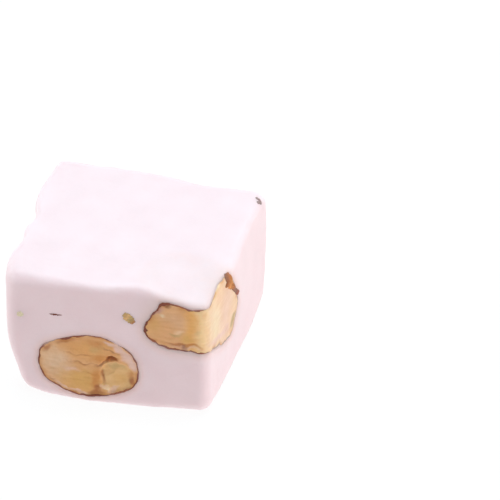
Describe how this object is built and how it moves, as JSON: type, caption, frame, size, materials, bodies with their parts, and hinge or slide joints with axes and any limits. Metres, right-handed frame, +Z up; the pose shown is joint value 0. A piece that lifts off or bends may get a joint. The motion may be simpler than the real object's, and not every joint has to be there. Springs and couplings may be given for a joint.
{
  "type": "nougat piece",
  "caption": "Hand-cut square of soft white nougat, with whole almonds showing in section on its cut sides.",
  "frame": {"origin": "middle of the piece's box, on the surface that it rests on", "axes": "+Z up; -Y towards the cut side with the large oval almond section; +X towards the side that the corner almond wraps onto"},
  "size_m": [0.0306, 0.0316, 0.0179],
  "materials": {
    "nougat": "soft pinkish white, smooth and matt",
    "almond": "pale tan kernel, cut flat, with faint grain",
    "almond_skin": "thin dark brown papery skin"
  },
  "bodies": {
    "root": {"nougat": "nougat", "almond_front": "almond", "almond_corner": "almond", "almond_left": "almond", "almond_back": "almond"}
  },
  "joints": []
}
